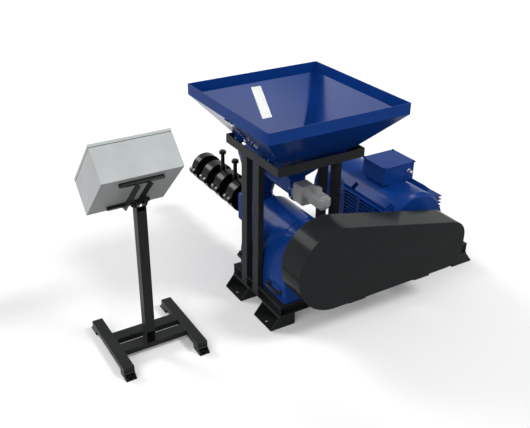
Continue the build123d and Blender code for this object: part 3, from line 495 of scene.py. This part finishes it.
# Feeder: flange screws, cover on the motor's end and its screws
FLANGE_RADIUS = 0.077
FLANGE_THICKNESS = 0.012
FLANGE_SCREW_CIRCLE = 0.0695
FLANGE_SCREWS = 8
FLANGE_SCREW = {"across": 0.0115, "head": 0.007}
FLANGE_THREAD = 0.004
FEEDER_MOTOR_SIZE = 0.096
END_COVER_DEPTH = 0.003
END_COVER = [(0.0440, 0), (0.0440, 0.0018), (0.0418, END_COVER_DEPTH)]
END_COVER_SIDES = 8
END_COVER_SCREWS = 4
END_COVER_CIRCLE = 0.033
END_COVER_SCREW = [(0.0040, 0), (0.0040, 0.0025), (0.0030, 0.0035)]

tube_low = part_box("feeder_tube")[0]
feeder_z = tube_low[2] + FLANGE_RADIUS
bm = bmesh.new()
for index in range(FLANGE_SCREWS):
    angle = 2 * pi * (index + 0.5) / FLANGE_SCREWS
    x = FLANGE_SCREW_CIRCLE * cos(angle)
    z = feeder_z + FLANGE_SCREW_CIRCLE * sin(angle)
    bolt(bm, (x, tube_low[1], z), FRONT, turn=angle, **FLANGE_SCREW)
    bolt(bm, (x, tube_low[1] + FLANGE_THICKNESS, z), REAR, thread=FLANGE_THREAD, **FLANGE_SCREW)
make_piece("feeder_flange_screws", bm, plated)

feeder_motor_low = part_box("feeder_motor")[0]
feeder_motor_z = feeder_motor_low[2] + FEEDER_MOTOR_SIZE / 2
bm = bmesh.new()
lathe(bm, END_COVER, (0, feeder_motor_low[1], feeder_motor_z), FRONT,
      segments=END_COVER_SIDES, turn=pi / END_COVER_SIDES)
make_piece("feeder_motor_end_cover", bm, gearmotor_paint)

bm = bmesh.new()
for index in range(END_COVER_SCREWS):
    angle = 2 * pi * (index + 0.5) / END_COVER_SCREWS
    place = (END_COVER_CIRCLE * cos(angle), feeder_motor_low[1] - END_COVER_DEPTH,
             feeder_motor_z + END_COVER_CIRCLE * sin(angle))
    lathe(bm, END_COVER_SCREW, place, FRONT, segments=16)
make_piece("feeder_cover_screws", bm, plated)

# Terminal box: plated gland on its front, lid screws at the corners
GLAND_X = 0.886
GLAND_Z = 0.760
GLAND_NUT = {"across": 0.030, "head": 0.008}
GLAND_BODY = [(0.0115, 0.008), (0.0115, 0.018), (0.0130, 0.019), (0.0130, 0.027),
              (0.0112, 0.032), (0.0070, 0.034)]
LID_SCREW_INSET = 0.011
LID_SCREW = [(0.0075, 0), (0.0075, 0.004), (0.0060, 0.0065), (0.0030, 0.0068)]

gland_seat = (GLAND_X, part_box("terminal_box")[0][1], GLAND_Z)
bm = bmesh.new()
bolt(bm, gland_seat, FRONT, **GLAND_NUT)
lathe(bm, GLAND_BODY, gland_seat, FRONT)
make_piece("terminal_gland", bm, plated)

lid_low, lid_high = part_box("terminal_box_lid")
bm = bmesh.new()
for x in (lid_low[0] + LID_SCREW_INSET, lid_high[0] - LID_SCREW_INSET):
    for y in (lid_low[1] + LID_SCREW_INSET, lid_high[1] - LID_SCREW_INSET):
        lathe(bm, LID_SCREW, (x, y, lid_high[2]), UP)
make_piece("terminal_lid_screws", bm, motor_paint)

# Lifting handles on the gearbox: bent bars with a boss at each end
HANDLE_RADIUS = 0.0095
HANDLE_STAND = 0.028
HANDLE_BEND = 0.014
BEND_STEPS = 6
COVER_STEP = 0.003
HANDLE_BOSS = [(0.0210, -0.001), (0.0210, 0.006), (0.0180, 0.011), (0.0105, 0.016)]
FRONT_HANDLE = {"middle": -0.240, "length": 0.135, "z": 0.230, "step": COVER_STEP}
REAR_HANDLE = {"middle": 0.165, "length": 0.070, "z": 0.260, "step": 0.0}

housing_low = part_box("gearbox_housing")[0]
bm = bmesh.new()
for handle in (FRONT_HANDLE, REAR_HANDLE):
    seat_x = housing_low[0] + handle["step"]
    middle = PROCESS_Y + handle["middle"]
    half_length = handle["length"] / 2
    z = handle["z"]
    half = [(0.0, -half_length)]
    for turn in range(BEND_STEPS + 1):
        angle = pi / 2 * turn / BEND_STEPS
        half.append((HANDLE_STAND - HANDLE_BEND * (1 - sin(angle)),
                     HANDLE_BEND * (1 - cos(angle)) - half_length))
    path = half + [(out, -along) for out, along in half[::-1]]
    round_bar(bm, [Vector((seat_x - out, middle + along, z)) for out, along in path], HANDLE_RADIUS)
    for y in (middle - half_length, middle + half_length):
        lathe(bm, HANDLE_BOSS, (seat_x, y, z), LEFT)
handle_piece = make_piece("lifting_handles", bm, frame_paint)
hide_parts("gearbox_handles")

# Drive motor: bolts of its feet and its base plate, screws of its fan cowl
MOTOR_X = 0.794
MOTOR_Z = 0.442
FOOT_BOLT_OUT = 0.222
FOOT_LENGTH = 0.076
FOOT_INSET = 0.030
FOOT_PAD = 0.022
FOOT_BOLT = {"across": 0.030, "head": 0.016, "washer": 0.004, "washer_radius": 0.022,
             "thread": 0.014}
PLATE_BOLT_INSET = 0.024
PLATE_BOLT = {"across": 0.024, "head": 0.013, "washer": 0.003, "washer_radius": 0.018}
COWL_SCREWS = 6
COWL_RADIUS = 0.236
COWL_SCREW_INSET = 0.018
COWL_SCREW = [(0.0075, -0.0005), (0.0075, 0.003), (0.0055, 0.0048)]

plate_low, plate_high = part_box("motor_base_plate")
motor_low, motor_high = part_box("motor_frame")
foot_middle = FOOT_INSET + FOOT_LENGTH / 2
bm = bmesh.new()
for y in (motor_low[1] + foot_middle, motor_high[1] - foot_middle):
    for side in (-1, 1):
        bolt(bm, (MOTOR_X + side * FOOT_BOLT_OUT, y, plate_high[2] + FOOT_PAD), UP, **FOOT_BOLT)
for y in (plate_low[1] + PLATE_BOLT_INSET, plate_high[1] - PLATE_BOLT_INSET):
    for x in (plate_low[0] + PLATE_BOLT_INSET, MOTOR_X, plate_high[0] - PLATE_BOLT_INSET):
        bolt(bm, (x, y, plate_high[2]), UP, **PLATE_BOLT)
make_piece("motor_foot_bolts", bm, plated)

cowl_screw_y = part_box("motor_fan_cowl")[0][1] + COWL_SCREW_INSET
bm = bmesh.new()
for index in range(COWL_SCREWS):
    angle = 2 * pi * (index + 0.5) / COWL_SCREWS
    out = Vector((cos(angle), 0, sin(angle)))
    place = Vector((MOTOR_X, cowl_screw_y, MOTOR_Z)) + COWL_RADIUS * out
    lathe(bm, COWL_SCREW, place, out, segments=20)
make_piece("cowl_screws", bm, motor_paint)

# Shafts of the motor and the gearbox, from their housings into the belt guard
GEARBOX_SHAFT_X = -0.085
GEARBOX_SHAFT_Z = 0.530
GEARBOX_SHAFT = 0.040
MOTOR_SHAFT = 0.0325
SHAFT_END = 0.030
SHAFT_CHAMFER = 0.003
SHAFT_TIP = 0.92
SHAFT_COLLAR = ((1.5, 0), (1.5, 0.012), (1.4, 0.014), (1.0, 0.014))

shaft_end_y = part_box("guard_back_plate")[0][1] - SHAFT_END
motor_face = (MOTOR_X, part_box("motor_drive_shield")[0][1], MOTOR_Z)
gearbox_face = (GEARBOX_SHAFT_X, housing_low[1], GEARBOX_SHAFT_Z)
bm = bmesh.new()
for face, radius in ((motor_face, MOTOR_SHAFT), (gearbox_face, GEARBOX_SHAFT)):
    reach = face[1] - shaft_end_y
    collar = [(share * radius, height) for share, height in SHAFT_COLLAR]
    tip = [(radius, reach - SHAFT_CHAMFER), (SHAFT_TIP * radius, reach)]
    lathe(bm, collar + tip, face, FRONT, segments=32)
make_piece("drive_shafts", bm, plated)

# Welds of the posts to the base and the ring, and at the base frame's corners
POST_DEPTH = 0.040
POST_WIDTH = 0.068
POST_PITCH = 0.148
POST_MIDDLE = PROCESS_Y + 0.008
CHANNEL_WALL = 0.006

post_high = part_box("support_posts")[1]
front_low, front_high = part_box("base_front_channel")
base_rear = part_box("base_rear_channel")[1][1]
base_corners = []
for x, inward_x in ((front_low[0], 1), (front_high[0], -1)):
    for y, inward_y in ((front_low[1], 1), (base_rear, -1)):
        base_corners.append((Vector((x, y, front_low[2])), Vector((inward_x, inward_y, 0))))
bm = bmesh.new()
for side in (-1, 1):
    outer = side * post_high[0]
    inner = side * (post_high[0] - POST_DEPTH)
    for middle in (POST_MIDDLE - POST_PITCH / 2, POST_MIDDLE + POST_PITCH / 2):
        front = middle - POST_WIDTH / 2
        rear = middle + POST_WIDTH / 2
        for z in (plate_low[2], post_high[2]):
            weld(bm, (outer, front, z), (inner, front, z))
            weld(bm, (outer, rear, z), (inner, rear, z))
            weld(bm, (inner, front, z), (inner, rear, z))
for corner, _ in base_corners:
    weld(bm, corner, corner + CHANNEL_WALL * Vector(UP))
make_piece("frame_welds", bm, frame_paint)

# Stiffening plates across the corners of the base frame
CHANNEL_HOLLOW = 0.040
STIFFENER = 0.005

channel_height = front_high[2] - front_low[2]
stiffener_width = CHANNEL_HOLLOW * 2**0.5 - STIFFENER
stiffener_height = channel_height - 2 * CHANNEL_WALL
bm = bmesh.new()
for corner, inward in base_corners:
    middle = corner + CHANNEL_HOLLOW / 2 * inward + channel_height / 2 * Vector(UP)
    plate(bm, middle, inward, UP, stiffener_width, stiffener_height, STIFFENER)
make_piece("corner_stiffeners", bm, frame_paint)

# Stand: black sheet at the post's foot, painted shade standing in for the dark at its lower end
POST_SHADE_PLATE_WIDTH = 0.050
POST_SHADE_PLATE_HEIGHT = 0.080
POST_SHADE_PLATE_THICKNESS = 0.0012
POST_SHADE_PLATE_CORNER = 0.003

stand_low, stand_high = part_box("stand_post")
shade_plate_middle = ((stand_low[0] + stand_high[0]) / 2, stand_low[1],
                stand_low[2] + POST_SHADE_PLATE_HEIGHT / 2)
bm = bmesh.new()
plate(bm, shade_plate_middle, RIGHT, UP, POST_SHADE_PLATE_WIDTH, POST_SHADE_PLATE_HEIGHT, POST_SHADE_PLATE_THICKNESS,
      POST_SHADE_PLATE_CORNER)
make_piece("post_foot_shade_plate", bm, black_rubber_and_shade)

# Stand: plugs in the holes of its feet
PLUG = [(0.0055, -0.003), (0.0055, 0), (0.0090, 0), (0.0090, 0.0012), (0.0065, 0.0028)]
FOOT_PLATE = 0.004

stand_holes = mounts["stand_anchor_holes"]
holes_x, holes_y = stand_holes["pos_m"][:2]
half_x = stand_holes["dims"]["spacing_x_mm"] / (2 * MM_PER_M)
half_y = stand_holes["dims"]["spacing_y_mm"] / (2 * MM_PER_M)
bm = bmesh.new()
for x in (holes_x - half_x, holes_x + half_x):
    for y in (holes_y - half_y, holes_y + half_y):
        lathe(bm, PLUG, (x, y, FOOT_PLATE), UP)
make_piece("foot_hole_plugs", bm, black_rubber_and_shade)

# Stand: caps in the open ends of its rails
RAIL_WIDTH = 0.068
RAIL_HEIGHT = 0.038
RAIL_WALL = 0.004
CAP_GAP = 0.0003
CAP_THICKNESS = 0.003
CAP_RECESS = 0.0005

rails_low, rails_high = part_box("stand_rails")
cap_width = RAIL_WIDTH - 2 * (RAIL_WALL + CAP_GAP)
cap_height = RAIL_HEIGHT - 2 * (RAIL_WALL + CAP_GAP)
cap_z = (rails_low[2] + rails_high[2]) / 2
cap_back = CAP_RECESS + CAP_THICKNESS
bm = bmesh.new()
for x in (rails_low[0] + RAIL_WIDTH / 2, rails_high[0] - RAIL_WIDTH / 2):
    for y, across in ((rails_low[1] + cap_back, RIGHT), (rails_high[1] - cap_back, LEFT)):
        plate(bm, (x, y, cap_z), across, UP, cap_width, cap_height, CAP_THICKNESS)
make_piece("rail_end_caps", bm, frame_paint)

# Welds in the hopper's corners, up the sloping walls and then up the rim
CORNER_INSET = 0.0075
CORNER_BEAD = 0.003

weld_low = OUTLET_HALF - CORNER_INSET
weld_high = hopper_half - CORNER_INSET
rim_inside = hopper_half - HOPPER_SHEET
bm = bmesh.new()
for side_x in (-1, 1):
    for side_y in (-1, 1):
        weld(bm, (side_x * weld_low, PROCESS_Y + side_y * weld_low, OUTLET_TOP),
             (side_x * weld_high, PROCESS_Y + side_y * weld_high, rim_bottom), CORNER_BEAD)
        corner = (side_x * rim_inside, PROCESS_Y + side_y * rim_inside)
        weld(bm, corner + (rim_bottom,), corner + (hopper_high[2] - CORNER_BEAD,), CORNER_BEAD)
make_piece("hopper_corner_welds", bm, blue_paint)

# Cabinet: seal between body and door, quarter-turn locks on the door's free side
CABINET_WIDTH = 0.485
CABINET_HEIGHT = 0.475
DOOR_GAP = 0.005
DOOR_THICKNESS = 0.022
HINGE_OUT = 0.008
SEAL_WIDTH = 0.012
SEAL_INSET = 0.0015
SEAL_SLACK = 0.0006
LOCK_SPACING = 0.300
LOCK_INSET = 0.030
LOCK = [(0.0135, -0.0005), (0.0135, 0.002), (0.0115, 0.004), (0.0075, 0.004), (0.0070, 0.002)]

down = Vector(joints["cabinet_door_hinge"]["axis"]).normalized()
outward = Vector(RIGHT).cross(down)
hinge_at = Vector(joints["cabinet_door_hinge"]["pos_m"])
body_face = hinge_at - Vector((CABINET_WIDTH / 2 + HINGE_OUT, 0, 0)) - outward * (DOOR_GAP / 2)
face_axes = Matrix((RIGHT, (-down).to_tuple(), outward.to_tuple())).transposed().to_4x4()
seal_outer = (CABINET_WIDTH - 2 * SEAL_INSET, CABINET_HEIGHT - 2 * SEAL_INSET)
seal_inner = (seal_outer[0] - 2 * SEAL_WIDTH, seal_outer[1] - 2 * SEAL_WIDTH)
bm = bmesh.new()
ring_frame(bm, Matrix.Translation(body_face) @ face_axes, seal_outer, seal_inner,
           DOOR_GAP - SEAL_SLACK)
make_piece("cabinet_seal", bm, seal_rubber, "cabinet")

bm = bmesh.new()
for side in (-1, 1):
    place = body_face + outward * DOOR_THICKNESS - down * side * LOCK_SPACING / 2
    place.x -= CABINET_WIDTH / 2 - LOCK_INSET
    lathe(bm, LOCK, place, outward)
make_piece("door_locks", bm, plated, "cabinet_door")

# Floor and backdrop: dimmer as light on the object than they look to the camera
FLOOR_HALF = 30.0
FLOOR_SEEN = 0.84
FLOOR_BOUNCE = 0.25
FLOOR_GLOW = 0.12
WORLD_LIGHT = 0.45


def seen_rays(tree):
    """1 for camera, glossy and transmission rays, 0 for the light that bounces."""
    rays = tree.nodes.new("ShaderNodeLightPath")
    total = rays.outputs["Is Camera Ray"]
    for kind in ("Is Glossy Ray", "Is Transmission Ray"):
        largest = tree.nodes.new("ShaderNodeMath")
        largest.operation = "MAXIMUM"
        tree.links.new(total, largest.inputs[0])
        tree.links.new(rays.outputs[kind], largest.inputs[1])
        total = largest.outputs["Value"]
    return total


def light_or_seen(tree, light, seen, output):
    """Join the shader that lights the object and the one that is seen, by the kind of ray."""
    mix = tree.nodes.new("ShaderNodeMixShader")
    tree.links.new(seen_rays(tree), mix.inputs["Fac"])
    tree.links.new(light, mix.inputs[1])
    tree.links.new(seen, mix.inputs[2])
    tree.links.new(mix.outputs["Shader"], tree.nodes[output].inputs["Surface"])


def make_matte(shader, brightness):
    """Set a Principled shader to a plain grey without gloss."""
    shader.inputs["Base Color"].default_value = grey(brightness)
    shader.inputs["Roughness"].default_value = 1.0
    shader.inputs["Specular IOR Level"].default_value = 0.0


floor_material, floor_tree, floor_shader = new_material("floor")
make_matte(floor_shader, FLOOR_BOUNCE)
pale_shader = floor_tree.nodes.new("ShaderNodeBsdfPrincipled")
make_matte(pale_shader, FLOOR_SEEN)
pale_shader.inputs["Emission Color"].default_value = grey(1.0)
pale_shader.inputs["Emission Strength"].default_value = FLOOR_GLOW
light_or_seen(floor_tree, floor_shader.outputs["BSDF"], pale_shader.outputs["BSDF"],
              "Material Output")

floor_mesh = bpy.data.meshes.new("floor")
floor_mesh.from_pydata(
    [(-FLOOR_HALF, -FLOOR_HALF, 0), (FLOOR_HALF, -FLOOR_HALF, 0),
     (FLOOR_HALF, FLOOR_HALF, 0), (-FLOOR_HALF, FLOOR_HALF, 0)], [], [(0, 1, 2, 3)])
floor_mesh.materials.append(floor_material)
floor = bpy.data.objects.new("floor", floor_mesh)
scene.collection.objects.link(floor)

world = bpy.data.worlds.new("studio")
world.use_nodes = True
scene.world = world
world_tree = world.node_tree
sky_light = world_tree.nodes["Background"]
sky_light.inputs["Color"].default_value = grey(1.0)
sky_light.inputs["Strength"].default_value = WORLD_LIGHT
white = world_tree.nodes.new("ShaderNodeBackground")
white.inputs["Color"].default_value = grey(1.0)
white.inputs["Strength"].default_value = 1.0
light_or_seen(world_tree, sky_light.outputs["Background"], white.outputs["Background"],
              "World Output")


# Lamps
def broad_sun(name, towards, angle, strength):
    """Soft distant lamp; towards points from the object to the lamp."""
    data = bpy.data.lights.new(name, "SUN")
    data.angle = radians(angle)
    data.energy = strength
    lamp = bpy.data.objects.new(name, data)
    lamp.rotation_euler = Vector(towards).to_track_quat("Z", "Y").to_euler()
    scene.collection.objects.link(lamp)


broad_sun("front_right", towards=(0.43, -0.49, 0.76), angle=16.0, strength=1.5)
broad_sun("rear_left", towards=(-0.36, 0.75, 0.56), angle=22.0, strength=1.3)
broad_sun("front_left", towards=(-0.78, -0.46, 0.42), angle=50.0, strength=1.3)
